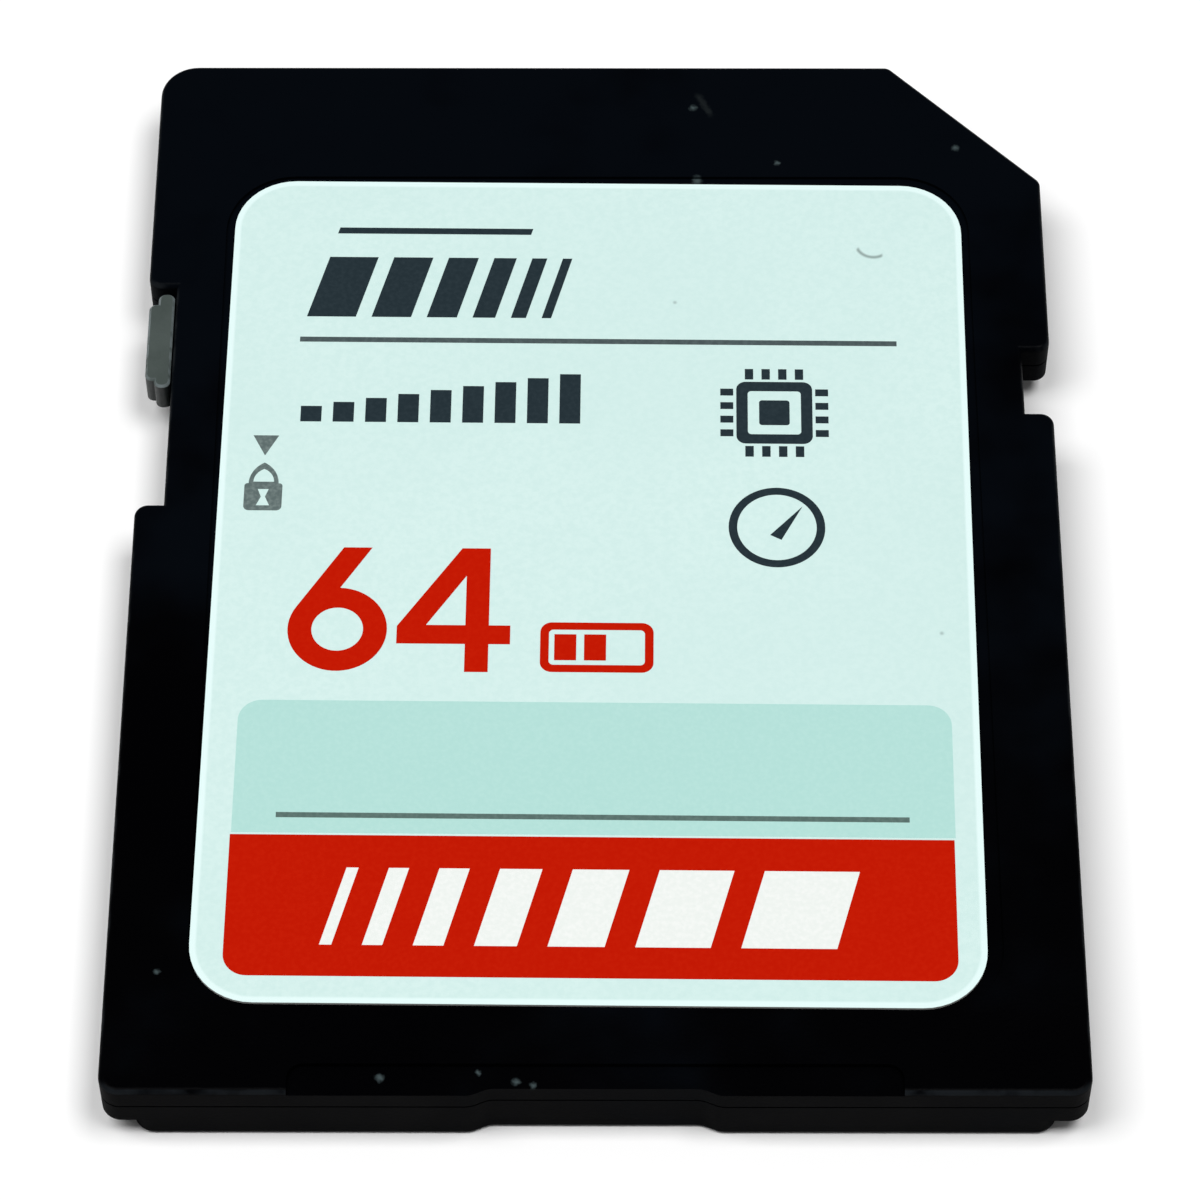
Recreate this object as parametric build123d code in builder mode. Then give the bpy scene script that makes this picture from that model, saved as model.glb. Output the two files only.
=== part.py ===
from build123d import *
from math import atan2, degrees, sqrt
import os

# A full-size memory card: two moulded covers welded round a small circuit board, a printed label in a
# recess of the front cover, and a write-protect switch that slides in a notch of the left edge.
# Millimetres. The origin is the middle of the back face, +X points to the side with the cut corner,
# +Y to the leading end with the contacts, and +Z up through the label. The switch is drawn unlocked.

# Contact row: contact 9 is nearest the cut corner, then 1 to 6, then the narrow 7 and 8
wide_count = 6
contact_pitch = 2.5
contact_width = 1.6
narrow_width = 1.1
step_to_narrow = 2.425
narrow_pitch = 1.7
contact_thickness = 0.04
contact_depth = 0.7
contact_corner = 0.2
contact_lead_gap = 0.2
edge_to_first = 0.375
edge_to_last = 0.15

# Contact windows in the back cover, open at the leading end
window_gap = 0.075
window_length = 6.6
ninth_shift = 1.6
lip_bevel = 0.2

# Circuit board and what is soldered to it
board_thickness = 0.3
board_clearance = 0.1
flash_height = 0.56
flash_lead = 10.6
flash_rear = 1.0
flash_left = 4.2
flash_right = 2.8
controller_size = 6.0
controller_height = 0.5
controller_lead = 3.4
controller_right = 4.2
package_bevel = 0.06
marker_radius = 0.45
marker_inset = 1.1
marker_depth = 0.05
chip_length = 1.0
chip_width = 0.5
chip_cap = 0.22
chip_waist = 0.02
chip_pitch = 1.3
chip_gap = 1.2
capacitor_height = 0.5
resistor_height = 0.35
capacitor_count = 4
resistor_count = 5

# Covers
card_length = 32.0
side_wall = 1.4
lead_wall = 1.0
rear_wall = 1.2
floor_thickness = 0.4
roof_thickness = 0.35
headroom = 0.05
ledge_width = 0.8
rib_width = 0.6
rib_pitch = 4.0
rib_count = 4
corner_cut = 4.0
corner_radius = 1.0
rear_radius = 0.5
cut_radius = 0.3
edge_round = 0.15
seam_width = 0.05
seam_depth = 0.04
post_radius = 0.3
post_height = 0.35
post_inset = 0.8
post_clearance = 0.04

# Guide rails along both sides, and the notches in them
rail_width = 0.75
rail_step = 0.7
body_corner = 0.5
notch_round = 0.35
lock_notch_length = 7.08
stop_notch_length = 2.04
stop_notch_lead = 9.72

# Rear edge: finger step in the label face and the recess of the moulding gate
grip_width = 14.9
grip_length = 0.8
grip_depth = 0.15
grip_corner = 0.4
gate_width = 5.6
gate_depth = 0.19
gate_slope = 0.45
gate_round = 0.6

# Write-protect switch: a tab in the notch with a shorter thumb piece on its outer side, a neck through the
# wall and a guide plate in a channel behind it
tab_length = 3.08
tab_width = 0.43
tab_gap = 0.1
tab_recess = 0.2
tab_round = 0.19
tab_bevel = 0.06
thumb_length = 2.52
thumb_shift = -0.06
thumb_setback = 0.03
neck_length = 2.2
neck_height = 0.35
guide_length = 3.8
guide_width = 0.55
guide_height = 0.7
guide_clearance = 0.05
slot_wall = 0.4
channel_wall = 0.45
bay_gap = 0.28

# Label, stuck into its recess a little askew
recess_side = 2.0
recess_lead = 3.9
recess_rear = 2.2
recess_depth = 0.1
recess_corner = 1.84
label_gap = 0.22
label_thickness = 0.08
label_shift = -0.085
label_skew = -0.5

# Heights that follow: the card is as thick as what it holds between its two covers
board_bottom = contact_depth + contact_thickness
board_top = board_bottom + board_thickness
ceiling = board_top + max(flash_height, controller_height, capacitor_height, resistor_height) + headroom
label_floor = ceiling + roof_thickness
card_thickness = label_floor + recess_depth
parting = (rail_step + card_thickness) / 2

# Widths that follow: the contact row sets the board, and the board sets the card
row_width = wide_count * contact_pitch + step_to_narrow + narrow_pitch + (contact_width + narrow_width) / 2
board_width = edge_to_last + row_width + edge_to_first
pocket_width = board_width + 2 * board_clearance
card_width = pocket_width + 2 * side_wall
half_width = card_width / 2
half_length = card_length / 2
body_width = card_width - 2 * rail_width

# Board pocket inside the covers
pocket_front = half_length - lead_wall
pocket_rear = -half_length + rear_wall
pocket_cut = corner_cut - side_wall - lead_wall + lead_wall * sqrt(2)
board_front = pocket_front - board_clearance
board_rear = pocket_rear + board_clearance

# Switch bay, just behind the contact windows: the channel, the slot and the notch share one middle
switch_travel = lock_notch_length - tab_length - 2 * tab_gap
channel_length = guide_length + switch_travel + 2 * guide_clearance
channel_width = guide_width + 2 * guide_clearance
channel_height = guide_height + 2 * guide_clearance
slot_length = neck_length + switch_travel + 2 * guide_clearance
slot_height = neck_height + 2 * guide_clearance
window_end = half_length - window_length
bay_length = channel_length + 2 * channel_wall
lock_notch_middle = window_end - bay_gap - bay_length / 2
stop_notch_middle = half_length - stop_notch_lead - stop_notch_length / 2
notch_wall = -half_width + rail_width
channel_middle = notch_wall + slot_wall + channel_width / 2
bay_edge = channel_middle + channel_width / 2 + channel_wall
switch_middle = lock_notch_middle + switch_travel / 2


def contact_places():
    """Each contact's number, middle in X, width, and rear and leading ends in Y."""
    ninth_x = board_width / 2 - edge_to_first - contact_width / 2
    rear = window_end + window_gap
    front = board_front - contact_lead_gap
    board_cut_line = half_width + half_length - corner_cut - (lead_wall + board_clearance) * sqrt(2)
    ninth_front = board_cut_line - ninth_x - contact_width / 2 - contact_lead_gap
    places = [(9, ninth_x, contact_width, rear - ninth_shift, ninth_front)]
    for number in range(1, wide_count + 1):
        places.append((number, ninth_x - number * contact_pitch, contact_width, rear, front))
    seventh_x = ninth_x - wide_count * contact_pitch - step_to_narrow
    places.append((7, seventh_x, narrow_width, rear, front))
    places.append((8, seventh_x - narrow_pitch, narrow_width, rear, front))
    return places


def corners_at(sketch, points):
    """The corners of a sketch that lie nearest to the given points."""
    return [sketch.vertices().sort_by_distance((x, y))[0] for x, y in points]


def at_place(edges, axis, place, margin=0.001):
    """The edges whose middle lies at a place along an axis."""
    return edges.filter_by_position(axis, place - margin, place + margin)


# Plan of the gate recess, whose ends slope out to the rear edge
gate_angle = degrees(atan2(gate_depth, gate_slope))
gate_corners = []
for side in (-1, 1):
    gate_corners.append((side * (gate_width + gate_slope) / 2, -half_length))
    gate_corners.append((side * (gate_width - gate_slope) / 2, -half_length + gate_depth))
with BuildSketch() as gate:
    with Locations((0, -half_length)):
        Trapezoid(gate_width + gate_slope, gate_depth, gate_angle, align=(Align.CENTER, Align.MIN))

# Plan of the card, with the cut corner, the two side notches and the gate recess
with BuildSketch() as outline:
    Rectangle(card_width, card_length)
    lead_corner = [(-half_width, half_length)]
    cut_corner = [(half_width, half_length)]
    rear_corners = [(-half_width, -half_length), (half_width, -half_length)]
    fillet(corners_at(outline, lead_corner), corner_radius)
    fillet(corners_at(outline, rear_corners), rear_radius)
    chamfer(corners_at(outline, cut_corner), corner_cut)
    cut_ends = [(half_width - corner_cut, half_length), (half_width, half_length - corner_cut)]
    fillet(corners_at(outline, cut_ends), cut_radius)
    for side, middle, length in [
        (-1, lock_notch_middle, lock_notch_length),
        (1, stop_notch_middle, stop_notch_length),
    ]:
        with Locations((side * half_width, middle)):
            Rectangle(2 * rail_width, length, mode=Mode.SUBTRACT)
        mouth = [(side * half_width, middle - length / 2), (side * half_width, middle + length / 2)]
        fillet(corners_at(outline, mouth), notch_round)
    add(gate.sketch, mode=Mode.SUBTRACT)
    fillet(corners_at(outline, gate_corners), gate_round)

# Plan of the thick middle of the back, between the rails
with BuildSketch() as body_plan:
    Rectangle(body_width, card_length)
    fillet(corners_at(body_plan, lead_corner + rear_corners), body_corner)
    chamfer(corners_at(body_plan, cut_corner), corner_cut - rail_width)
    fillet(corners_at(body_plan, cut_ends), cut_radius)
    add(gate.sketch, mode=Mode.SUBTRACT)
    fillet(corners_at(body_plan, gate_corners), gate_round)

# Plan of the space for the board, which goes round the switch bay
with BuildSketch() as pocket:
    with Locations((0, (pocket_front + pocket_rear) / 2)):
        Rectangle(pocket_width, pocket_front - pocket_rear)
    chamfer(corners_at(pocket, cut_corner), pocket_cut)
    with Locations(((bay_edge - half_width) / 2, lock_notch_middle)):
        Rectangle(bay_edge + half_width, bay_length, mode=Mode.SUBTRACT)

# Plan of the contact windows: one for each wide contact, and one that contacts 7 and 8 share
with BuildSketch() as windows:
    for number, x, width, rear, front in contact_places():
        reach = half_length - rear + window_gap
        with Locations((x, half_length - reach / 2)):
            Rectangle(width + 2 * window_gap, reach)
    seventh_x, eighth_x = [place[1] for place in contact_places()[-2:]]
    with Locations(((seventh_x + eighth_x) / 2, half_length - window_length / 2)):
        Rectangle(narrow_pitch, window_length)

# Plans of the switch's channel and of the slot through the notch wall, half in each cover
with BuildSketch(Plane.XY.offset(parting)) as channel:
    with Locations((channel_middle, lock_notch_middle)):
        Rectangle(channel_width, channel_length)
with BuildSketch(Plane.XY.offset(parting)) as slot:
    with Locations((notch_wall + slot_wall / 2, lock_notch_middle)):
        Rectangle(slot_wall, slot_length)

# Places of the weld posts, in the corners of the rim
post_places = [
    (-half_width + post_inset, -half_length + post_inset),
    (half_width - post_inset, -half_length + post_inset),
    (-half_width + post_inset, half_length - post_inset),
    (half_width - post_inset, half_length - corner_cut - post_inset),
]

with BuildPart() as back_cover:
    # Thick middle with a rounded rim, then the rails, then a narrow step that leaves the seam as a fine groove
    extrude(body_plan.sketch, amount=rail_step)
    fillet(back_cover.edges().group_by(Axis.Z)[0], edge_round)
    with BuildSketch(Plane.XY.offset(rail_step)):
        add(outline.sketch)
    extrude(amount=parting - seam_width - rail_step)
    with BuildSketch(Plane.XY.offset(parting - seam_width)):
        add(outline.sketch)
        offset(amount=-seam_depth, mode=Mode.REPLACE)
    extrude(amount=seam_width)
    # Pocket for the board, and a deeper floor that leaves a ledge round it and ribs under it
    with BuildSketch(Plane.XY.offset(board_bottom)):
        add(pocket.sketch)
    extrude(amount=parting - board_bottom, mode=Mode.SUBTRACT)
    floor_front = window_end - ninth_shift - ledge_width
    with BuildSketch(Plane.XY.offset(floor_thickness)):
        add(pocket.sketch)
        offset(amount=-ledge_width, kind=Kind.INTERSECTION, mode=Mode.REPLACE)
        with Locations((0, floor_front + card_length / 2)):
            Rectangle(card_width, card_length, mode=Mode.SUBTRACT)
        with GridLocations(rib_pitch, 0, rib_count, 1):
            Rectangle(rib_width, card_length, mode=Mode.SUBTRACT)
    extrude(amount=board_bottom - floor_thickness, mode=Mode.SUBTRACT)
    # Contact windows, cut up to the board, with a lip left along the leading edge
    extrude(windows.sketch, amount=contact_depth, mode=Mode.SUBTRACT)
    with BuildSketch():
        add(windows.sketch)
        add(pocket.sketch, mode=Mode.INTERSECT)
    extrude(amount=board_bottom, mode=Mode.SUBTRACT)
    lip_edges = at_place(at_place(back_cover.edges(), Axis.Z, contact_depth), Axis.X, 0, board_width / 2)
    cut_place = (half_width + half_length - corner_cut) / sqrt(2)
    front_edges = at_place(lip_edges, Axis.Y, half_length)
    cut_edges = at_place(lip_edges, Axis((0, 0, 0), (1, 1, 0)), cut_place)
    chamfer(front_edges + cut_edges, lip_bevel)
    # Lower halves of the switch's channel and slot, and the weld posts
    extrude(channel.sketch, amount=-channel_height / 2, mode=Mode.SUBTRACT)
    extrude(slot.sketch, amount=-slot_height / 2, mode=Mode.SUBTRACT)
    with BuildSketch(Plane.XY.offset(parting)):
        with Locations(*post_places):
            Circle(post_radius)
    extrude(amount=post_height)

with BuildPart() as front_cover:
    with BuildSketch(Plane.XY.offset(parting)):
        add(outline.sketch)
    extrude(amount=card_thickness - parting)
    fillet(front_cover.edges().group_by(Axis.Z)[-1], edge_round)
    # Room over the board
    with BuildSketch(Plane.XY.offset(parting)):
        add(pocket.sketch)
    extrude(amount=ceiling - parting, mode=Mode.SUBTRACT)
    # Recess for the label
    recess_front = half_length - recess_lead
    recess_end = -half_length + recess_rear
    with BuildSketch(Plane.XY.offset(label_floor)):
        with Locations((0, (recess_front + recess_end) / 2)):
            RectangleRounded(card_width - 2 * recess_side, recess_front - recess_end, recess_corner)
    extrude(amount=recess_depth, mode=Mode.SUBTRACT)
    # Finger step at the rear edge
    with BuildSketch(Plane.XY.offset(card_thickness - grip_depth)):
        with Locations((0, -half_length)):
            RectangleRounded(grip_width, 2 * grip_length, grip_corner)
    extrude(amount=grip_depth, mode=Mode.SUBTRACT)
    # Upper halves of the switch's channel and slot, and the sockets of the weld posts
    extrude(channel.sketch, amount=channel_height / 2, mode=Mode.SUBTRACT)
    extrude(slot.sketch, amount=slot_height / 2, mode=Mode.SUBTRACT)
    with BuildSketch(Plane.XY.offset(parting)):
        with Locations(*post_places):
            Circle(post_radius + post_clearance)
    extrude(amount=post_height + post_clearance, mode=Mode.SUBTRACT)

with BuildPart() as label:
    with BuildSketch(Plane.XY.offset(label_floor)):
        with Locations((label_shift, (recess_front + recess_end) / 2)):
            RectangleRounded(
                card_width - 2 * (recess_side + label_gap),
                recess_front - recess_end - 2 * label_gap,
                recess_corner - label_gap,
                rotation=label_skew,
            )
    extrude(amount=label_thickness)

with BuildPart() as write_protect_switch:
    tab_inner = notch_wall - guide_clearance
    thumb_outer = -half_width + thumb_setback
    thumb_middle = switch_middle + thumb_shift
    guide_outer = notch_wall + slot_wall + guide_clearance
    with BuildSketch(Plane.XY.offset(parting)) as tab:
        with Locations((tab_inner - tab_width / 2, switch_middle)):
            Rectangle(tab_width, tab_length)
        with Locations(((thumb_outer + tab_inner) / 2, thumb_middle)):
            Rectangle(tab_inner - thumb_outer, thumb_length)
        for side in (-1, 1):
            tab_end = switch_middle + side * tab_length / 2
            thumb_end = thumb_middle + side * thumb_length / 2
            ends = [(tab_inner, tab_end), (tab_inner - tab_width, tab_end), (thumb_outer, thumb_end)]
            fillet(corners_at(tab, ends), tab_round)
    extrude(amount=(card_thickness - rail_step) / 2 - tab_recess, both=True)
    chamfer(write_protect_switch.faces().filter_by(Axis.Z).edges(), tab_bevel)
    with BuildSketch(Plane.XY.offset(parting)):
        with Locations(((tab_inner + guide_outer) / 2, switch_middle)):
            Rectangle(guide_outer - tab_inner, neck_length)
    extrude(amount=neck_height / 2, both=True)
    with BuildSketch(Plane.XY.offset(parting)):
        with Locations((guide_outer + guide_width / 2, switch_middle)):
            Rectangle(guide_width, guide_length)
    extrude(amount=guide_height / 2, both=True)

with BuildPart() as circuit_board:
    with BuildSketch(Plane.XY.offset(board_bottom)):
        add(pocket.sketch)
        offset(amount=-board_clearance, kind=Kind.INTERSECTION, mode=Mode.REPLACE)
    extrude(amount=board_thickness)


def contact_pad(x, width, rear, front):
    """A gold-plated pad on the underside of the board."""
    with BuildPart() as pad:
        with BuildSketch(Plane.XY.offset(contact_depth)):
            with Locations((x, (rear + front) / 2)):
                RectangleRounded(width, front - rear, contact_corner)
        extrude(amount=contact_thickness)
    return pad.part


def chip_package(x, y, width, length, height):
    """A moulded package on the board, with bevelled edges and a round dimple at its first corner."""
    with BuildPart() as package:
        with BuildSketch(Plane.XY.offset(board_top)):
            with Locations((x, y)):
                Rectangle(width, length)
        extrude(amount=height)
        chamfer(package.edges().group_by(Axis.Z)[-1], package_bevel)
        with BuildSketch(Plane.XY.offset(board_top + height)):
            with Locations((x - width / 2 + marker_inset, y + length / 2 - marker_inset)):
                Circle(marker_radius)
        extrude(amount=-marker_depth, mode=Mode.SUBTRACT)
    return package.part


def chip_component(x, y, height):
    """A capacitor or resistor along Y: a body between two metal end caps that stand a little proud of it."""
    with BuildPart() as component:
        with BuildSketch(Plane.XY.offset(board_top)):
            with Locations((x, y)):
                with GridLocations(0, chip_length - chip_cap, 1, 2):
                    Rectangle(chip_width, chip_cap)
        extrude(amount=height)
        with BuildSketch(Plane.XY.offset(board_top + chip_waist)):
            with Locations((x, y)):
                Rectangle(chip_width - 2 * chip_waist, chip_length - chip_cap)
        extrude(amount=height - 2 * chip_waist)
    return component.part


# Packages on the board
flash_width = board_width - flash_left - flash_right
flash_length = board_front - flash_lead - board_rear - flash_rear
flash_x = (flash_left - flash_right) / 2
flash_y = (board_front - flash_lead + board_rear + flash_rear) / 2
controller_x = board_width / 2 - controller_right - controller_size / 2
controller_y = board_front - controller_lead - controller_size / 2
packages = {
    "flash_memory": chip_package(flash_x, flash_y, flash_width, flash_length, flash_height),
    "controller": chip_package(controller_x, controller_y, controller_size, controller_size, controller_height),
}

# Small components: capacitors in a row left of the controller, resistors in a row ahead of them
components = {}
row_end = controller_x - controller_size / 2 - chip_gap
for index in range(capacitor_count):
    place = (row_end - index * chip_pitch, controller_y - chip_gap)
    components[f"capacitor_{index + 1}"] = chip_component(*place, capacitor_height)
for index in range(resistor_count):
    place = (row_end - index * chip_pitch, controller_y + chip_gap)
    components[f"resistor_{index + 1}"] = chip_component(*place, resistor_height)

contacts = {
    f"contact_{number}": contact_pad(x, width, rear, front)
    for number, x, width, rear, front in contact_places()
}

pieces = {
    "front_cover": front_cover.part,
    "back_cover": back_cover.part,
    "label": label.part,
    "write_protect_switch": write_protect_switch.part,
    "circuit_board": circuit_board.part,
    **contacts,
    **packages,
    **components,
}
os.makedirs("parts", exist_ok=True)
for name, piece in pieces.items():
    piece.label = name
    export_step(piece, f"parts/{name}.step")
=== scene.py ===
import math

import bmesh
import bpy
from mathutils import Matrix, Vector


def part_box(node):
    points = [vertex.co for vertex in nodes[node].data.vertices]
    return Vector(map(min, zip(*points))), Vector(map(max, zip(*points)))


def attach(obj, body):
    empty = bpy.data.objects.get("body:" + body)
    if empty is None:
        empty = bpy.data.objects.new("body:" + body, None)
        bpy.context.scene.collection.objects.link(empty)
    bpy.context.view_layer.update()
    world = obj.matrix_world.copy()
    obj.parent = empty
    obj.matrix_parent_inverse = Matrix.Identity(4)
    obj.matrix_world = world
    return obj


# A memory card on a white table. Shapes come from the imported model; this script adds the print on the label,
# the finishes, the light and the camera. Drawn values are millimetres, and Blender works in metres.
MM = 0.001
RIGHT = Vector((1.0, 0.0, 0.0))
UP = Vector((0.0, 0.0, 1.0))
WHITE = (1.0, 1.0, 1.0, 1.0)

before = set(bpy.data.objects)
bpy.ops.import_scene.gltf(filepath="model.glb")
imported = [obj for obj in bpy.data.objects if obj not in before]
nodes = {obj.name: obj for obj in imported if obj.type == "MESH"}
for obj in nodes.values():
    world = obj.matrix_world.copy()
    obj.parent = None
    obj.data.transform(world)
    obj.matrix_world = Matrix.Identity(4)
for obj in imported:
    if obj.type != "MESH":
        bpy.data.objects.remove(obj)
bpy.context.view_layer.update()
scene = bpy.context.scene
scene.view_settings.view_transform = "Standard"
materials = {}


def add_object(name, data):
    new = bpy.data.objects.new(name, data)
    scene.collection.objects.link(new)
    return new


def aimed(spot, back, right):
    """The matrix of a camera or lamp at a spot, with its back and its right side turned as given."""
    back = back.normalized()
    right = right.normalized()
    turn = Matrix((right, back.cross(right), back)).transposed().to_4x4()
    return Matrix.Translation(spot) @ turn


# Camera, placed as the reference was taken: above the rear edge, looking down at the label. Its angles are
# in degrees.
CAMERA_PLACE = Vector((0.319, -73.511, 109.238))
CAMERA_TARGET = Vector((0.0834, -0.3248, 0.0))
CAMERA_ROLL = 0.0905
CAMERA_ANGLE = 13.596
CAMERA_SENSOR = 36.0
CAMERA_NEAR = 0.005
CAMERA_FAR = 20.0


def add_camera():
    data = bpy.data.cameras.new("camera")
    data.sensor_width = CAMERA_SENSOR
    data.lens = CAMERA_SENSOR / 2 / math.tan(math.radians(CAMERA_ANGLE / 2))
    data.clip_start = CAMERA_NEAR
    data.clip_end = CAMERA_FAR
    look = (CAMERA_TARGET - CAMERA_PLACE).normalized()
    right = Matrix.Rotation(math.radians(CAMERA_ROLL), 3, look) @ look.cross(UP)
    camera = add_object("camera", data)
    camera.matrix_world = aimed(CAMERA_PLACE * MM, -look, right)
    scene.camera = camera


# Helpers for node trees. A span is the pair of values where a blend starts and where it is full, a reach is
# the pair of values that it gives there, and a noise is its scale per millimetre and its detail.
NOISE_SPAN = (0.3, 0.7)
NOISE_MIDDLE = (0.5, 0.5, 0.5)
OWN_MIDDLE = 0.5
SRGB_TOE = 0.04045
MIX_FIRST = 6
MIX_SECOND = 7
MIX_RESULT = 2


def srgb(red, green, blue):
    """A colour as it looks on a screen, 0 to 255, as a shader's linear colour by the sRGB curve."""
    linear = []
    for value in (red / 255, green / 255, blue / 255):
        if value <= SRGB_TOE:
            linear.append(value / 12.92)
        else:
            linear.append(((value + 0.055) / 1.055) ** 2.4)
    return (*linear, 1.0)


def feed(tree, socket, value):
    """Set a socket to a constant, or link another node's output to it."""
    if isinstance(value, bpy.types.NodeSocket):
        tree.links.new(value, socket)
    else:
        socket.default_value = value


def make(tree, kind, inputs=None, output=0, **settings):
    """A shader node with its settings and inputs, as the output that is wanted."""
    new = tree.nodes.new("ShaderNode" + kind)
    for key, value in settings.items():
        setattr(new, key, value)
    for key, value in (inputs or {}).items():
        feed(tree, new.inputs[key], value)
    return new.outputs[output]


def maths(tree, operation, first, second=0.0):
    return make(tree, "Math", {0: first, 1: second}, operation=operation)


def product(tree, first, *others):
    for other in others:
        first = maths(tree, "MULTIPLY", first, other)
    return first


def vector_maths(tree, operation, first, second=(0.0, 0.0, 0.0), output="Vector"):
    return make(tree, "VectorMath", {0: first, 1: second}, output, operation=operation)


def axis(tree, vector, name):
    """One coordinate of a vector."""
    return make(tree, "SeparateXYZ", {0: vector}, name)


def ramp(tree, value, span, reach=(0.0, 1.0)):
    """A smooth step over a reach while a value crosses a span."""
    limits = {
        "Value": value,
        "From Min": span[0],
        "From Max": span[1],
        "To Min": reach[0],
        "To Max": reach[1],
    }
    return make(tree, "MapRange", limits, interpolation_type="SMOOTHSTEP")


def spread(tree, pattern, reach=(0.0, 1.0)):
    """A noise pattern, spread over a reach."""
    return ramp(tree, pattern, NOISE_SPAN, reach)


def mixed(tree, factor, first, second):
    """A colour between two colours."""
    inputs = {"Factor": factor, MIX_FIRST: first, MIX_SECOND: second}
    return make(tree, "Mix", inputs, MIX_RESULT, data_type="RGBA")


def place(tree, stretch=(1.0, 1.0, 1.0)):
    """Where a point lies on the card, in millimetres."""
    scale = tuple(s / MM for s in stretch)
    return vector_maths(tree, "MULTIPLY", make(tree, "TexCoord", output="Object"), scale)


def own_place(tree):
    """Where a point lies in the box of its own piece, from 0 to 1 along each axis."""
    return make(tree, "TexCoord", output="Generated")


def noise(tree, where, scale, detail):
    return make(tree, "TexNoise", {"Vector": where, "Scale": scale, "Detail": detail})


def away_from(tree, where, point):
    """Distance to a point in millimetres."""
    return vector_maths(tree, "DISTANCE", where, point, "Value")


def facing_up(tree):
    """How far a face looks up: 1 on flat faces, 0 on upright ones."""
    return axis(tree, make(tree, "NewGeometry", output="Normal"), "Z")


def rounded_edge(tree, up, flat, upright):
    """One on the round of an edge, fading over a span towards flat faces and one towards upright faces."""
    return product(tree, ramp(tree, up, flat), ramp(tree, up, upright))


def start(name, colour, constants=None):
    """A new finish, with the plain colour for viewers without nodes and the sockets that stay constant."""
    material = bpy.data.materials.new("finish_" + name)
    materials[name] = material
    material.use_nodes = True
    shader = material.node_tree.nodes["Principled BSDF"]
    shader.inputs["Base Color"].default_value = colour
    for key, value in (constants or {}).items():
        shader.inputs[key].default_value = value
    return material.node_tree, shader


def finish(tree, shader, colour, roughness, height, depth):
    """Link a finish to its shader, with a relief that has a depth in millimetres."""
    bump = make(tree, "Bump", {"Height": height, "Distance": depth * MM, "Strength": 1.0})
    tree.links.new(colour, shader.inputs["Base Color"])
    tree.links.new(roughness, shader.inputs["Roughness"])
    tree.links.new(bump, shader.inputs["Normal"])


# Light: a dim sky, paler low down and dark high behind the card, and a soft box on each side overhead, with
# its place and width in metres
SKY_HORIZON = 0.25
SKY_ZENITH = 0.12
SKY_FADE = 0.15
SKY_BACK_REACH = (0.25, 0.04)
SKY_BACK_SPAN = (0.7, 0.86)
SKY_BACK_DEPTH = 0.5
SOFT_BOXES = {
    "soft_box_left": {"spot": Vector((-0.2, -0.04, 0.5)), "width": 0.32, "power": 1.615},
    "soft_box_right": {"spot": Vector((0.155, -0.04, 0.5)), "width": 0.17, "power": 1.335},
}
SOFT_BOX_DEPTH = 0.25


def add_sky():
    world = bpy.data.worlds.new("sky")
    scene.world = world
    world.use_nodes = True
    tree = world.node_tree
    direction = make(tree, "TexCoord", output="Generated")
    height = axis(tree, direction, "Z")
    depth = axis(tree, direction, "Y")
    back = ramp(tree, height, SKY_BACK_SPAN, SKY_BACK_REACH)
    zenith = ramp(tree, depth, (0.0, SKY_BACK_DEPTH), (SKY_ZENITH, back))
    strength = ramp(tree, height, (0.0, SKY_FADE), (SKY_HORIZON, zenith))
    background = tree.nodes["Background"]
    feed(tree, background.inputs["Color"], WHITE)
    feed(tree, background.inputs["Strength"], strength)


def add_soft_box(name, spot, width, power):
    """A rectangular lamp that faces the card."""
    data = bpy.data.lights.new(name, "AREA")
    data.shape = "RECTANGLE"
    data.size = width
    data.size_y = SOFT_BOX_DEPTH
    data.energy = power
    away = spot.normalized()
    lamp = add_object(name, data)
    lamp.matrix_world = aimed(spot, away, RIGHT - away * away.x)


def add_light():
    add_sky()
    for name, values in SOFT_BOXES.items():
        add_soft_box(name, **values)


# Floor: a white table, with its half length in metres, a little under the card
FLOOR_COLOUR = (0.995, 0.995, 0.995, 1.0)
FLOOR_ROUGHNESS = 0.9
FLOOR_HALF = 2.0
FLOOR_GAP = 0.01


def add_floor():
    half = FLOOR_HALF
    height = -FLOOR_GAP * MM
    corners = [(-half, -half, height), (half, -half, height), (half, half, height), (-half, half, height)]
    mesh = bpy.data.meshes.new("floor")
    mesh.from_pydata(corners, [], [(0, 1, 2, 3)])
    start("table_white", FLOOR_COLOUR, {"Roughness": FLOOR_ROUGHNESS, "Specular IOR Level": 0.0})
    mesh.materials.append(materials["table_white"])
    floor = add_object("floor", mesh)


# Marks that use leaves on a finish
FRAY_SCALE = 9.0
FRAY_REACH = 0.07
ARC_FADE = 0.8


def frayed(tree, where):
    """A place shifted a little by noise, so that marks there have uneven outlines."""
    shift = make(tree, "TexNoise", {"Vector": where, "Scale": FRAY_SCALE}, "Color")
    shift = vector_maths(tree, "SUBTRACT", shift, NOISE_MIDDLE)
    shift = make(tree, "VectorMath", {0: shift, "Scale": 2 * FRAY_REACH}, operation="SCALE")
    return vector_maths(tree, "ADD", where, shift)


def specks(tree, where, marks):
    """One where a point lies in one of some round marks, each given by its place and radius."""
    total = None
    for *point, radius in marks:
        dot = ramp(tree, away_from(tree, where, point), (radius, 0.0))
        total = dot if total is None else maths(tree, "MAXIMUM", total, dot)
    return total


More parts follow.
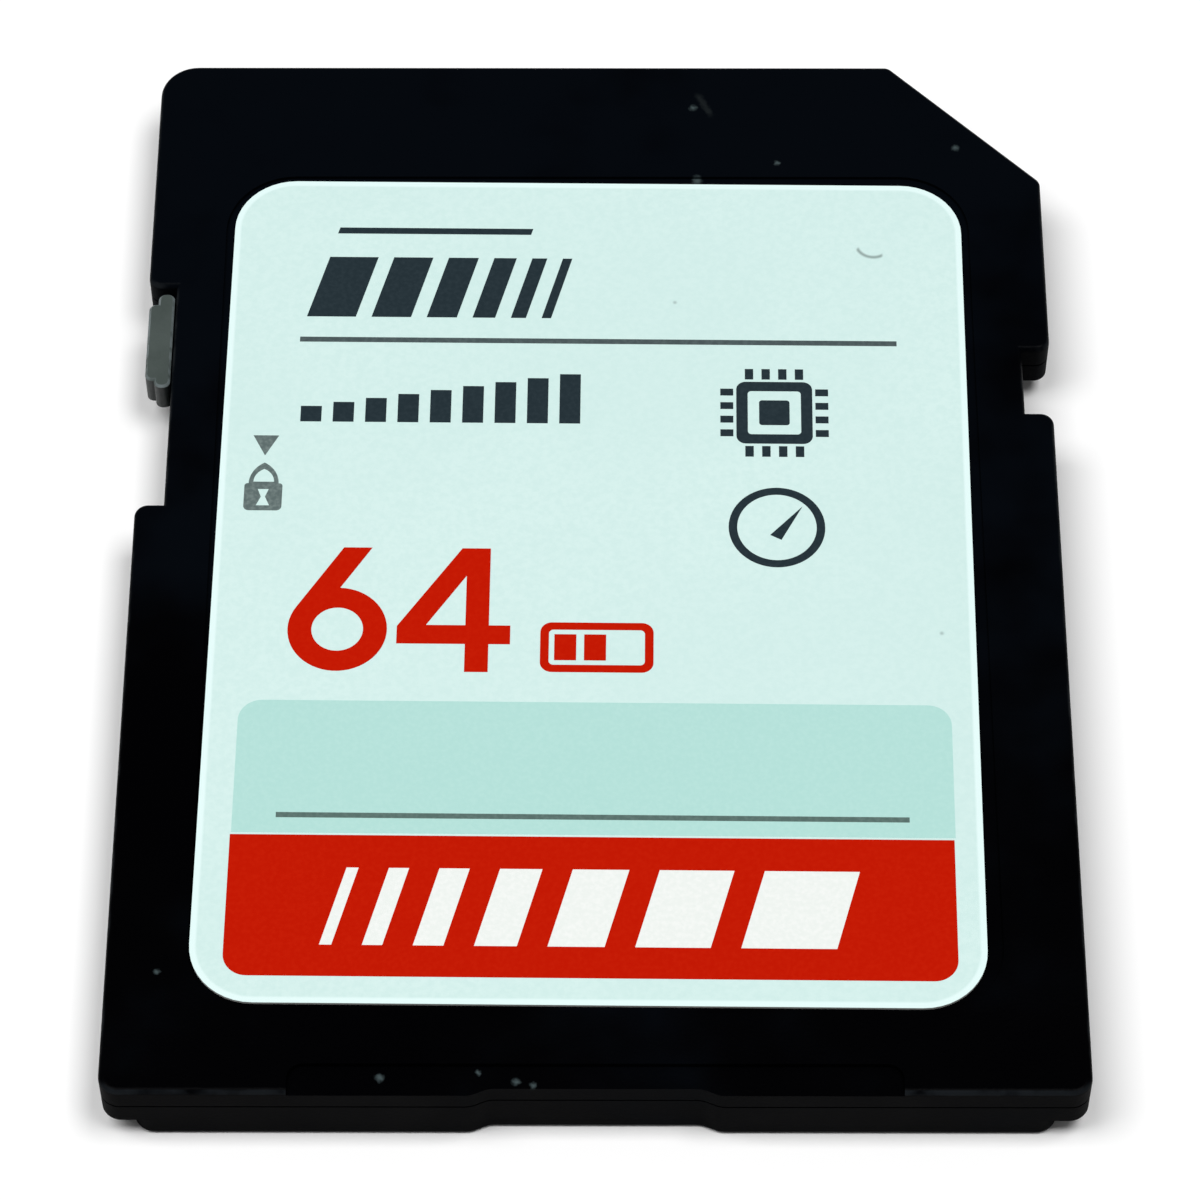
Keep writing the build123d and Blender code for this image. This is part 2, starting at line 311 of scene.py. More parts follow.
def line_mark(tree, where, first, second, width):
    """One near a straight line between two points, fading at its ends."""
    first = Vector(first)
    second = Vector(second)
    middle = (first + second) / 2
    direction = (second - first).normalized()
    length = (second - first).length
    along = vector_maths(tree, "DOT_PRODUCT", where, tuple(direction), "Value")
    from_middle = maths(tree, "ABSOLUTE", maths(tree, "SUBTRACT", along, middle.dot(direction)))
    inside = ramp(tree, from_middle, (length / 2, length / 4))
    distance = away_from(tree, where, tuple(middle))
    square = maths(
        tree,
        "SUBTRACT",
        product(tree, distance, distance),
        product(tree, from_middle, from_middle),
    )
    across = maths(tree, "SQRT", maths(tree, "MAXIMUM", square, 0.0))
    return product(tree, inside, ramp(tree, across, (width, 0.0)))


def arc_mark(tree, where, centre, radius, width, middle, reach):
    """One near the stretch of a circle that lies around a point on it, fading at its ends."""
    off_circle = maths(tree, "ABSOLUTE", maths(tree, "SUBTRACT", away_from(tree, where, centre), radius))
    near = ramp(tree, away_from(tree, where, middle), (reach, ARC_FADE * reach))
    return product(tree, ramp(tree, off_circle, (width, 0.0)), near)


# Black plastic of the covers
COVER_BLACK = srgb(1, 1, 2)
# Lighter tone of the greasy bloom, which the painted sheen also pulls towards
COVER_GREASY_AND_SHEEN = srgb(4, 7, 12)
COVER_WORN = srgb(36, 39, 42)
# Paler tone of the painted highlight along the rear top edge
COVER_PAINTED_HIGHLIGHT = srgb(25, 28, 31)
COVER_SCUFFED = srgb(24, 28, 30)
COVER_DUSTY = srgb(66, 78, 80)
COVER_SPECULAR = 0.015
COVER_GRAIN = (11.0, 3.0)
COVER_GRAIN_DEPTH = 0.006
BLOOM_NOISE = (0.25, 3.0)
BLOOM_SPAN = (0.25, 0.75)
BLOOM_ROUGHNESS = (0.28, 0.38)
# Painted sheen: the black lightens along Y towards the front end, standing in for the mirrored sky
PAINTED_SHEEN_SPAN = (-12.0, 14.0)
PAINTED_SHEEN_SHARE = 0.2
SIDE_SPAN = (0.6, 0.1)
SIDE_ROUGHER = 0.25
WORN_FLAT = (0.97, 0.7)
WORN_UPRIGHT = (0.05, 0.3)
WORN_NOISE = (1.6, 4.0)
WORN_SPAN = (0.42, 0.68)
WORN_SHARE = 0.5
WORN_SMOOTHER = 0.08
# Painted highlight: a broken paler line on the upward round of the rear top edge, where light catches it
REAR_HIGHLIGHT_FLAT = (0.98, 0.85)
REAR_HIGHLIGHT_UPRIGHT = (0.1, 0.35)
REAR_HIGHLIGHT_NOISE = (1.1, 4.0)
REAR_HIGHLIGHT_SPAN = (0.3, 0.6)
REAR_SPAN = (-15.6, -15.8)
COVER_DUST = [
    (2.61, 14.51, 2.1, 0.14),
    (9.74, 13.11, 2.1, 0.14),
    (4.88, 12.58, 2.1, 0.11),
    (2.7, 12.05, 1.99, 0.19),
    (-10.71, -12.67, 2.1, 0.12),
    (-5.21, -15.52, 1.95, 0.15),
    (-2.83, -15.37, 1.95, 0.1),
    (-1.91, -15.62, 1.95, 0.14),
    (-1.5, -15.72, 1.95, 0.11),
]
COVER_SCUFF = {"first": (2.67, 15.08, 2.1), "second": (3.15, 14.16, 2.1), "width": 0.14}


def cover_plastic():
    """Black moulded plastic: fine grain, a greasy bloom from handling, worn edges, dust and a scuff, with a
    painted sheen that lightens it towards the front end and a painted highlight along the rear top edge.
    """
    tree, shader = start("cover_plastic", COVER_GREASY_AND_SHEEN, {"Specular IOR Level": COVER_SPECULAR})
    where = place(tree)
    along = axis(tree, where, "Y")
    up = facing_up(tree)
    up_or_down = maths(tree, "ABSOLUTE", up)
    bloom = noise(tree, where, *BLOOM_NOISE)
    # Random bloom, plus a painted sheen that grows towards the front end
    bloom_and_painted_sheen = maths(tree, "ADD", bloom, ramp(tree, along, PAINTED_SHEEN_SPAN, (-PAINTED_SHEEN_SHARE, PAINTED_SHEEN_SHARE)))
    worn = rounded_edge(tree, up_or_down, WORN_FLAT, WORN_UPRIGHT)
    worn = product(tree, worn, ramp(tree, noise(tree, where, *WORN_NOISE), WORN_SPAN))
    # Painted highlight along the rear top edge, broken by noise
    painted_edge_highlight = rounded_edge(tree, up, REAR_HIGHLIGHT_FLAT, REAR_HIGHLIGHT_UPRIGHT)
    painted_edge_highlight = product(tree, painted_edge_highlight, ramp(tree, along, REAR_SPAN))
    painted_edge_highlight = product(tree, painted_edge_highlight, ramp(tree, noise(tree, where, *REAR_HIGHLIGHT_NOISE), REAR_HIGHLIGHT_SPAN))
    uneven = frayed(tree, where)
    base = mixed(tree, spread(tree, bloom_and_painted_sheen), COVER_BLACK, COVER_GREASY_AND_SHEEN)
    base = mixed(tree, product(tree, worn, WORN_SHARE), base, COVER_WORN)
    base = mixed(tree, painted_edge_highlight, base, COVER_PAINTED_HIGHLIGHT)
    base = mixed(tree, line_mark(tree, uneven, **COVER_SCUFF), base, COVER_SCUFFED)
    base = mixed(tree, specks(tree, uneven, COVER_DUST), base, COVER_DUSTY)
    rough = ramp(tree, bloom, BLOOM_SPAN, BLOOM_ROUGHNESS)
    rough = maths(tree, "ADD", rough, ramp(tree, up_or_down, SIDE_SPAN, (0.0, SIDE_ROUGHER)))
    rough = maths(tree, "SUBTRACT", rough, product(tree, worn, WORN_SMOOTHER))
    finish(tree, shader, base, rough, noise(tree, where, *COVER_GRAIN), COVER_GRAIN_DEPTH)


# Film of the label, which lies askew in its recess by half a degree
LABEL_SKEW = -0.5
LABEL_CORNER = 1.62
LABEL_TINT = srgb(206, 233, 229)
LABEL_PALE = srgb(212, 237, 233)
LABEL_CLOUDED = srgb(202, 230, 226)
LABEL_RIM = srgb(225, 247, 245)
LABEL_CUT = srgb(232, 235, 232)
LABEL_SPECK = srgb(70, 84, 84)
LABEL_HAIR = srgb(70, 80, 78)
LABEL_SPECULAR = 0.15
LABEL_ROUGHNESS = (0.38, 0.48)
LABEL_MOTTLE = (7.0, 4.0)
LABEL_MOTTLE_DEPTH = 0.002
CLOUD_NOISE = (0.16, 2.0)
CLOUD_SPAN = (0.35, 0.7)
CLOUD_SHARE = 0.35
RIM_SPAN = (0.2, 0.12)
CUT_SPAN = (0.5, 0.2)
SPECK_SHARE = 0.4
SPECKS = [(2.07, 7.84, 2.08, 0.09), (8.81, -2.73, 2.08, 0.09)]
HAIR_SHARE = 0.6
HAIR = {
    "centre": (7.41, 9.83, 2.08),
    "radius": 0.46,
    "width": 0.085,
    "middle": (7.27, 9.42, 2.08),
    "reach": 0.42,
}


def label_straights():
    """Half the straight stretch of the label's sides, along its width and length, from its box."""
    low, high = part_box("label")
    reach = (high - low) / 2 / MM
    x = reach.x - LABEL_CORNER
    y = reach.y - LABEL_CORNER
    turn = math.radians(abs(LABEL_SKEW))
    width = (x * math.cos(turn) - y * math.sin(turn)) / math.cos(2 * turn)
    length = (y * math.cos(turn) - x * math.sin(turn)) / math.cos(2 * turn)
    return width, length


def inside_label(tree, where):
    """How far a point lies inside the edge of the label, in millimetres."""
    low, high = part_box("label")
    middle = (low + high) / 2 / MM
    centred = vector_maths(tree, "SUBTRACT", where, tuple(middle))
    turn = {"Vector": centred, "Angle": math.radians(-LABEL_SKEW)}
    square = make(tree, "VectorRotate", turn, rotation_type="Z_AXIS")
    past = vector_maths(tree, "SUBTRACT", vector_maths(tree, "ABSOLUTE", square), (*label_straights(), 0.0))
    beyond = vector_maths(tree, "MAXIMUM", past, (0.0, 0.0, 0.0))
    beyond = vector_maths(tree, "MULTIPLY", beyond, (1.0, 1.0, 0.0))
    round_part = vector_maths(tree, "LENGTH", beyond, output="Value")
    straight_part = maths(tree, "MAXIMUM", axis(tree, past, "X"), axis(tree, past, "Y"))
    straight_part = maths(tree, "MINIMUM", straight_part, 0.0)
    return maths(tree, "SUBTRACT", LABEL_CORNER, maths(tree, "ADD", round_part, straight_part))


def label_film():
    """Satin label stock: a pale tint with faint mottling, a paler rim and cut edge, two specks and a hair."""
    tree, shader = start("label_film", LABEL_PALE, {"Specular IOR Level": LABEL_SPECULAR})
    where = place(tree)
    mottle = noise(tree, where, *LABEL_MOTTLE)
    cloud = ramp(tree, noise(tree, where, *CLOUD_NOISE), CLOUD_SPAN, (0.0, CLOUD_SHARE))
    rim = ramp(tree, inside_label(tree, where), RIM_SPAN)
    dots = product(tree, specks(tree, where, SPECKS), SPECK_SHARE)
    hair = product(tree, arc_mark(tree, where, **HAIR), HAIR_SHARE)
    cut = ramp(tree, facing_up(tree), CUT_SPAN)
    base = mixed(tree, spread(tree, mottle), LABEL_TINT, LABEL_PALE)
    base = mixed(tree, cloud, base, LABEL_CLOUDED)
    base = mixed(tree, rim, base, LABEL_RIM)
    base = mixed(tree, dots, base, LABEL_SPECK)
    base = mixed(tree, hair, base, LABEL_HAIR)
    base = mixed(tree, cut, base, LABEL_CUT)
    finish(tree, shader, base, spread(tree, mottle, LABEL_ROUGHNESS), mottle, LABEL_MOTTLE_DEPTH)


# Inks: the two tones of each one's mottling
INKS = {
    "ink_slate": (srgb(36, 48, 54), srgb(42, 54, 60)),
    "ink_grey": (srgb(92, 106, 105), srgb(116, 130, 128)),
    "ink_rule": (srgb(72, 84, 86), srgb(84, 97, 98)),
    "ink_pale_rule": (srgb(86, 108, 103), srgb(98, 120, 115)),
    "ink_red": (srgb(189, 22, 1), srgb(193, 26, 2)),
    "ink_mint": (srgb(176, 219, 212), srgb(181, 222, 215)),
    "ink_white": (srgb(233, 238, 234), srgb(240, 243, 240)),
}
INK_SPECULAR = 0.03
INK_ROUGHNESS = (0.32, 0.4)
INK_MOTTLE = (9.0, 4.0)
INK_MOTTLE_SPAN = (0.35, 0.75)
INK_MOTTLE_DEPTH = 0.0015


def ink(name, dark, light):
    """Printing ink: a flat field with the fine mottling of a screen print."""
    tree, shader = start(name, dark, {"Specular IOR Level": INK_SPECULAR})
    mottle = noise(tree, place(tree), *INK_MOTTLE)
    base = mixed(tree, ramp(tree, mottle, INK_MOTTLE_SPAN), dark, light)
    finish(tree, shader, base, spread(tree, mottle, INK_ROUGHNESS), mottle, INK_MOTTLE_DEPTH)


# Grey plastic of the switch
SWITCH_DARK = srgb(59, 69, 66)
SWITCH_LIGHT = srgb(67, 77, 74)
# Paler tone of painted highlights on the switch's rounded upper edges
SWITCH_PAINTED_HIGHLIGHT = srgb(112, 122, 124)
# Dark tone of painted shade on the switch's upright sides
SWITCH_PAINTED_SHADE = srgb(24, 29, 29)
SWITCH_SPECULAR = 0.35
SWITCH_ROUGHNESS = (0.44, 0.58)
SWITCH_GRAIN = (14.0, 3.0)
SWITCH_GRAIN_DEPTH = 0.005
SWITCH_TONE_NOISE = (1.1, 3.0)
SWITCH_EDGE_FLAT = (0.98, 0.7)
SWITCH_EDGE_UPRIGHT = (0.0, 0.25)
SWITCH_EDGE_NOISE = (3.0, 3.0)
SWITCH_EDGE_SPAN = (0.25, 0.6)
SWITCH_EDGE_SHARE = 0.85
# Painted shade on the switch's upright sides: where it starts and how dark it gets
SWITCH_SHADE_SPAN = (0.3, 0.05)
SWITCH_SHADE_SHARE = 0.9


def switch_plastic():
    """Grey moulded plastic with a fine grain, painted highlights on its rounded upper edges and painted shade
    on its upright sides.
    """
    tree, shader = start("switch_plastic", SWITCH_LIGHT, {"Specular IOR Level": SWITCH_SPECULAR})
    where = place(tree)
    up = facing_up(tree)
    grain = noise(tree, where, *SWITCH_GRAIN)
    # Painted highlight on the rounded upper edges, broken by noise
    painted_edge_highlight = rounded_edge(tree, up, SWITCH_EDGE_FLAT, SWITCH_EDGE_UPRIGHT)
    painted_edge_highlight = product(tree, painted_edge_highlight, ramp(tree, noise(tree, where, *SWITCH_EDGE_NOISE), SWITCH_EDGE_SPAN))
    # Painted shade: upright sides darkened as if they faced away from the light
    side = ramp(tree, up, SWITCH_SHADE_SPAN, (0.0, SWITCH_SHADE_SHARE))
    base = mixed(tree, spread(tree, noise(tree, where, *SWITCH_TONE_NOISE)), SWITCH_DARK, SWITCH_LIGHT)
    base = mixed(tree, product(tree, painted_edge_highlight, SWITCH_EDGE_SHARE), base, SWITCH_PAINTED_HIGHLIGHT)
    base = mixed(tree, side, base, SWITCH_PAINTED_SHADE)
    finish(tree, shader, base, spread(tree, grain, SWITCH_ROUGHNESS), grain, SWITCH_GRAIN_DEPTH)


# Gold of the contacts, which lie along Y
GOLD_DEEP = srgb(222, 178, 92)
GOLD_LIGHT = srgb(233, 194, 112)
GOLD_RUBBED = srgb(206, 190, 150)
GOLD_TONE_NOISE = (0.9, 3.0)
LINE_STRETCH = (14.0, 0.25, 1.0)
LINE_NOISE = (1.0, 3.0)
LINE_ROUGH_SPAN = (0.35, 0.65)
LINE_ROUGHNESS = (0.2, 0.32)
LINE_DEPTH = 0.003
TRACK_SPAN = (0.22, 0.1)
TRACK_END_SPAN = (0.12, 0.3)
TRACK_LINE_SPAN = (0.45, 0.62)
TRACK_SHARE = 0.6
TRACK_ROUGHER = 0.14


def contact_gold():
    """Gold plate with the fine lines that sockets have drawn along it."""
    tree, shader = start("contact_gold", GOLD_LIGHT, {"Metallic": 1.0})
    own = own_place(tree)
    lines = noise(tree, place(tree, LINE_STRETCH), *LINE_NOISE)
    off_middle = maths(tree, "ABSOLUTE", maths(tree, "SUBTRACT", axis(tree, own, "X"), OWN_MIDDLE))
    track = ramp(tree, off_middle, TRACK_SPAN)
    track = product(tree, track, ramp(tree, axis(tree, own, "Y"), TRACK_END_SPAN))
    track = product(tree, track, ramp(tree, lines, TRACK_LINE_SPAN))
    base = mixed(tree, spread(tree, noise(tree, place(tree), *GOLD_TONE_NOISE)), GOLD_DEEP, GOLD_LIGHT)
    base = mixed(tree, product(tree, track, TRACK_SHARE), base, GOLD_RUBBED)
    rough = ramp(tree, lines, LINE_ROUGH_SPAN, LINE_ROUGHNESS)
    rough = maths(tree, "ADD", rough, product(tree, track, TRACK_ROUGHER))
    finish(tree, shader, base, rough, lines, LINE_DEPTH)


# Laminate of the circuit board
BOARD_DARK = srgb(13, 38, 27)
BOARD_LIGHT = srgb(20, 52, 38)
BOARD_ROUGHNESS = (0.3, 0.42)
BOARD_NOISE = (2.0, 3.0)
CLOTH = {"Scale": 0.7, "Distortion": 0.6, "Detail": 1.0}
CLOTH_DEPTH = 0.004


def board_laminate():
    """Dark green solder mask over glass cloth."""
    tree, shader = start("board_laminate", BOARD_LIGHT)
    where = place(tree)
    warp = make(tree, "TexWave", {"Vector": where, **CLOTH}, "Fac", bands_direction="X")
    weft = make(tree, "TexWave", {"Vector": where, **CLOTH}, "Fac", bands_direction="Y")
    weave = maths(tree, "MAXIMUM", warp, weft)
    base = mixed(tree, weave, BOARD_DARK, BOARD_LIGHT)
    rough = spread(tree, noise(tree, where, *BOARD_NOISE), BOARD_ROUGHNESS)
    finish(tree, shader, base, rough, weave, CLOTH_DEPTH)


# Resin of the packages
RESIN_DARK = srgb(30, 30, 32)
RESIN_LIGHT = srgb(62, 62, 64)
RESIN_ROUGHNESS = (0.52, 0.68)
SPECKLE_NOISE = (16.0, 4.0)
SPECKLE_SPAN = (0.5, 0.72)
SPECKLE_DEPTH = 0.006


def package_resin():
    """Black filled epoxy with a fine speckle."""
    tree, shader = start("package_resin", RESIN_DARK)
    speckle = noise(tree, place(tree), *SPECKLE_NOISE)
    base = mixed(tree, ramp(tree, speckle, SPECKLE_SPAN), RESIN_DARK, RESIN_LIGHT)
    finish(tree, shader, base, spread(tree, speckle, RESIN_ROUGHNESS), speckle, SPECKLE_DEPTH)


# Ceramics of the small components: the two tones of each one's body
CERAMICS = {
    "capacitor_ceramic": (srgb(172, 140, 100), srgb(150, 118, 82)),
    "resistor_ceramic": (srgb(30, 30, 34), srgb(44, 44, 48)),
}
TIN = srgb(196, 198, 200)
CAP_SHARE = 0.22
CERAMIC_ROUGHNESS = (0.3, 0.5)
CERAMIC_GRAIN = (9.0, 3.0)
CERAMIC_GRAIN_DEPTH = 0.004


def chip_ceramic(name, body, mottled):
    """A small ceramic component with tinned ends, which lies along Y."""
    tree, shader = start(name, body)
    along = axis(tree, own_place(tree), "Y")
    from_end = maths(tree, "MINIMUM", along, maths(tree, "SUBTRACT", 1.0, along))
    cap = maths(tree, "LESS_THAN", from_end, CAP_SHARE)
    grain = noise(tree, place(tree), *CERAMIC_GRAIN)
    base = mixed(tree, spread(tree, grain), body, mottled)
    base = mixed(tree, cap, base, TIN)
    tree.links.new(cap, shader.inputs["Metallic"])
    finish(tree, shader, base, spread(tree, grain, CERAMIC_ROUGHNESS), grain, CERAMIC_GRAIN_DEPTH)


# Which nodes take which finish; nodes with a number take that of their kind
FINISHES = {
    "front_cover": "cover_plastic",
    "back_cover": "cover_plastic",
    "label": "label_film",
    "write_protect_switch": "switch_plastic",
    "contact": "contact_gold",
    "circuit_board": "board_laminate",
    "flash_memory": "package_resin",
    "controller": "package_resin",
    "capacitor": "capacitor_ceramic",
    "resistor": "resistor_ceramic",
}


def finish_nodes():
    cover_plastic()
    label_film()
    switch_plastic()
    contact_gold()
    board_laminate()
    package_resin()
    for name, tones in CERAMICS.items():
        chip_ceramic(name, *tones)
    for name, node in nodes.items():
        kind = name if name in FINISHES else name.rsplit("_", 1)[0]
        node.data.materials.clear()
        node.data.materials.append(materials[FINISHES[kind]])


# Outlines for print, each a loop of points
ARC_STEPS = 12
CIRCLE_STEPS = 64


def arc(x, y, radius, first, last, steps=ARC_STEPS):
    angles = [math.radians(first + (last - first) * i / steps) for i in range(steps + 1)]
    return [(x + radius * math.cos(angle), y + radius * math.sin(angle)) for angle in angles]


def circle(x, y, radius):
    return arc(x, y, radius, 0.0, 360.0 - 360.0 / CIRCLE_STEPS, CIRCLE_STEPS - 1)


def box(left, bottom, right, top, lower=0.0, upper=0.0):
    """A rectangle with rounded lower and upper corners."""
    corners = [
        (left, bottom, 1, 1, lower, 180.0),
        (right, bottom, -1, 1, lower, 270.0),
        (right, top, -1, -1, upper, 0.0),
        (left, top, 1, -1, upper, 90.0),
    ]
    loop = []
    for x, y, side, rise, radius, angle in corners:
        if radius:
            loop += arc(x + side * radius, y + rise * radius, radius, angle, angle + 90.0)
        else:
            loop.append((x, y))
    return loop


def inset(sides, distance):
    """The sides of a rectangle that lies inside another one."""
    return {
        "left": sides["left"] + distance,
        "bottom": sides["bottom"] + distance,
        "right": sides["right"] - distance,
        "top": sides["top"] - distance,
    }


def pointed_arch(x, y, half, rise):
    """An arch of two arcs that meet in a point, from its left foot to its right foot."""
    shift = (rise ** 2 / half - half) / 2
    reach = half + shift
    angle = math.degrees(math.acos(shift / reach))
    return arc(x + shift, y, reach, 180.0, 180.0 - angle) + arc(x - shift, y, reach, angle, 0.0)[1:]


def slanted(left, bottom, width, height, slant):
    """A rectangle that leans to the right."""
    right = left + width
    top = bottom + height
    return [(left, bottom), (right, bottom), (right + slant, top), (left + slant, top)]


def moved(loop, x, y):
    return [(a + x, b + y) for a, b in loop]


# Print is a film of ink that sinks a little into the label and turns with it. Fields lie under marks.
INK_SINK = 0.002
FIELD_LIFT = 0.004
MARK_LIFT = 0.007
MERGE_DISTANCE = 0.0005


def filled(name, loops, thickness):
    """A flat mesh of some thickness inside outlines, with holes where loops lie inside others."""
    curve = bpy.data.curves.new(name, "CURVE")
    curve.dimensions = "2D"
    curve.fill_mode = "BOTH"
    curve.extrude = thickness / 2
    for loop in loops:
        spline = curve.splines.new("POLY")
        spline.points.add(len(loop) - 1)
        for point, (x, y) in zip(spline.points, loop):
            point.co = (x, y, 0.0, 1.0)
        spline.use_cyclic_u = True
    outline = add_object(name + "_outline", curve)
    mesh = bpy.data.meshes.new_from_object(outline)
    bpy.data.objects.remove(outline)
    mesh.name = name
    shape = bmesh.new()
    shape.from_mesh(mesh)
    bmesh.ops.remove_doubles(shape, verts=shape.verts, dist=MERGE_DISTANCE)
    bmesh.ops.recalc_face_normals(shape, faces=shape.faces)
    shape.to_mesh(mesh)
    shape.free()
    return mesh


def onto_label(height):
    """The matrix from print in millimetres about the label's middle to its place on the label."""
    low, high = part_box("label")
    middle = (low + high) / 2
    return (
        Matrix.Translation((middle.x, middle.y, high.z))
        @ Matrix.Rotation(math.radians(LABEL_SKEW), 4, "Z")
        @ Matrix.Scale(MM, 4)
        @ Matrix.Translation((0.0, 0.0, height))
    )


def print_piece(name, loops, ink_name, lift):
    """A closed film of ink on the label."""
    mesh = filled(name, loops, lift + INK_SINK)
    mesh.transform(onto_label((lift - INK_SINK) / 2))
    mesh.materials.clear()
    mesh.materials.append(materials[ink_name])
    piece = add_object(name, mesh)
    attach(piece, "card")


# Fields: a panel for notes and a band under it
PANEL = {"left": -8.92, "bottom": -7.9, "right": 9.09, "top": -3.99}
BAND = {"left": -8.945, "bottom": -11.98, "right": 9.06, "top": -7.96}
FIELD_CORNER = 0.6


def print_fields():
    print_piece("print_panel", [box(**PANEL, upper=FIELD_CORNER)], "ink_mint", FIELD_LIFT)
    print_piece("print_band", [box(**BAND, lower=FIELD_CORNER)], "ink_red", FIELD_LIFT)


# Two rules
RULE = {"left": -7.87, "bottom": 7.31, "right": 7.96, "top": 7.47}
LOWER_RULE = {"left": -7.83, "bottom": -7.46, "right": 7.96, "top": -7.31}


def print_rules():
    print_piece("print_rule", [box(**RULE)], "ink_rule", MARK_LIFT)
    print_piece("print_lower_rule", [box(**LOWER_RULE)], "ink_pale_rule", MARK_LIFT)


# Marks of the switch: an arrow that points to the locked end, and a padlock
ARROW = [(-8.95, 4.235), (-8.28, 4.235), (-8.62, 3.595)]
LOCK = {"left": -9.11, "bottom": 1.845, "right": -8.12, "top": 2.7}
LOCK_LOWER_CORNER = 0.14
LOCK_UPPER_CORNER = 0.08
SHACKLE_HALF = 0.39
SHACKLE_RISE = 0.66
OPENING_GAP = 0.05
OPENING_HALF = 0.27
OPENING_RISE = 0.41
KEYHOLE = [(-8.79, 2.0), (-8.44, 2.0), (-8.56, 2.28), (-8.47, 2.52), (-8.76, 2.52), (-8.67, 2.28)]


def print_switch_marks():
    middle = (LOCK["left"] + LOCK["right"]) / 2
    body = box(**LOCK, lower=LOCK_LOWER_CORNER, upper=LOCK_UPPER_CORNER)
    shackle = pointed_arch(middle, LOCK["top"], SHACKLE_HALF, SHACKLE_RISE)
    upper_left = 3 * len(body) // 4
    padlock = body[:upper_left] + shackle[::-1] + body[upper_left:]
    opening = pointed_arch(middle, LOCK["top"] + OPENING_GAP, OPENING_HALF, OPENING_RISE)
    print_piece("print_switch_marks", [ARROW, padlock, opening, KEYHOLE], "ink_grey", MARK_LIFT)


# A plain number, with its digits drawn from their lower left corners
NUMBER_BOTTOM = -3.1
DIGIT_HEIGHT = 3.8
SIX_LEFT = -7.82
SIX_CENTRE = Vector((1.3, 1.27))
SIX_OUTER = 1.27
SIX_INNER = 0.66
SIX_STROKE = 0.62
SIX_LEAN = 32.0
SIX_STEPS = 48
FOUR_LEFT = -5.0
FOUR_WIDTH = 2.9
FOUR_STEM_LEFT = 1.75
FOUR_STEM_RIGHT = 2.35
FOUR_BAR_BOTTOM = 0.85
FOUR_BAR_TOP = 1.42
FOUR_TOP_LEFT = 1.62
FOUR_FOOT_TOP = 1.38
FOUR_HOLE_LEFT = 0.74
FOUR_HOLE_TOP = 2.95


def digit_six():
    """A six: a round bowl with a straight stem that leans to the right."""
    turn = math.radians(SIX_LEAN)
    across = Vector((-math.cos(turn), math.sin(turn)))
    up = Vector((math.sin(turn), math.cos(turn)))
    tangent = SIX_CENTRE + SIX_OUTER * across
    inner_foot = SIX_CENTRE + (SIX_OUTER - SIX_STROKE) * across
    top_left = tangent + up * ((DIGIT_HEIGHT - tangent.y) / up.y)
    top_right = inner_foot + up * ((DIGIT_HEIGHT - inner_foot.y) / up.y)
    meet = inner_foot + up * math.sqrt(SIX_OUTER ** 2 - (SIX_OUTER - SIX_STROKE) ** 2) - SIX_CENTRE
    last = math.degrees(math.atan2(meet.y, meet.x)) + 360.0
    bowl = arc(*SIX_CENTRE, SIX_OUTER, 180.0 - SIX_LEAN, last, SIX_STEPS)
    outside = [tuple(top_left)] + bowl + [tuple(top_right)]
    return [moved(loop, SIX_LEFT, NUMBER_BOTTOM) for loop in (outside, circle(*SIX_CENTRE, SIX_INNER))]


def digit_four():
    """A four of straight strokes."""
    outside = [
        (FOUR_STEM_LEFT, 0.0),
        (FOUR_STEM_RIGHT, 0.0),
        (FOUR_STEM_RIGHT, FOUR_BAR_BOTTOM),
        (FOUR_WIDTH, FOUR_BAR_BOTTOM),
        (FOUR_WIDTH, FOUR_BAR_TOP),
        (FOUR_STEM_RIGHT, FOUR_BAR_TOP),
        (FOUR_STEM_RIGHT, DIGIT_HEIGHT),
        (FOUR_TOP_LEFT, DIGIT_HEIGHT),
        (0.0, FOUR_FOOT_TOP),
        (0.0, FOUR_BAR_BOTTOM),
        (FOUR_STEM_LEFT, FOUR_BAR_BOTTOM),
    ]
    hole = [
        (FOUR_STEM_LEFT, FOUR_BAR_TOP),
        (FOUR_STEM_LEFT, FOUR_HOLE_TOP),
        (FOUR_HOLE_LEFT, FOUR_BAR_TOP),
    ]
    return [moved(loop, FOUR_LEFT, NUMBER_BOTTOM) for loop in (outside, hole)]


# A meter beside the number, with some of its segments filled
METER = {"left": -1.33, "bottom": -3.08, "right": 1.56, "top": -1.57}
METER_CORNER = 0.3
METER_WALL = 0.22
METER_INNER_CORNER = 0.12
SEGMENT_INSET = 0.36
SEGMENT_WIDTH = 0.56
SEGMENT_PITCH = 0.76
SEGMENT_COUNT = 2


def meter():
    loops = [
        box(**METER, lower=METER_CORNER, upper=METER_CORNER),
        box(**inset(METER, METER_WALL), lower=METER_INNER_CORNER, upper=METER_INNER_CORNER),
    ]
    room = inset(METER, SEGMENT_INSET)
    for i in range(SEGMENT_COUNT):
        left = room["left"] + SEGMENT_PITCH * i
        loops.append(box(left, room["bottom"], left + SEGMENT_WIDTH, room["top"]))
    return loops


def print_number():
    print_piece("print_number", digit_six() + digit_four() + meter(), "ink_red", MARK_LIFT)


# Rows of slanted stripes, over the upper rule and in the band
STRIPE_SLANT = 0.27
STRIPES = {"left": -7.72, "bottom": 8.15, "height": 2.0, "gap": 0.42}
STRIPE_WIDTHS = [1.3, 1.05, 0.8, 0.6, 0.4, 0.25]
OVERLINE = {"left": -7.0, "bottom": 10.95, "height": 0.2, "gap": 0.0}
OVERLINE_WIDTH = 5.2
BAND_STRIPES = {"left": -6.6, "bottom": -11.1, "height": 2.2, "gap": 0.75}
BAND_STRIPE_WIDTHS = [0.3, 0.5, 0.75, 1.05, 1.4, 1.85, 2.35]


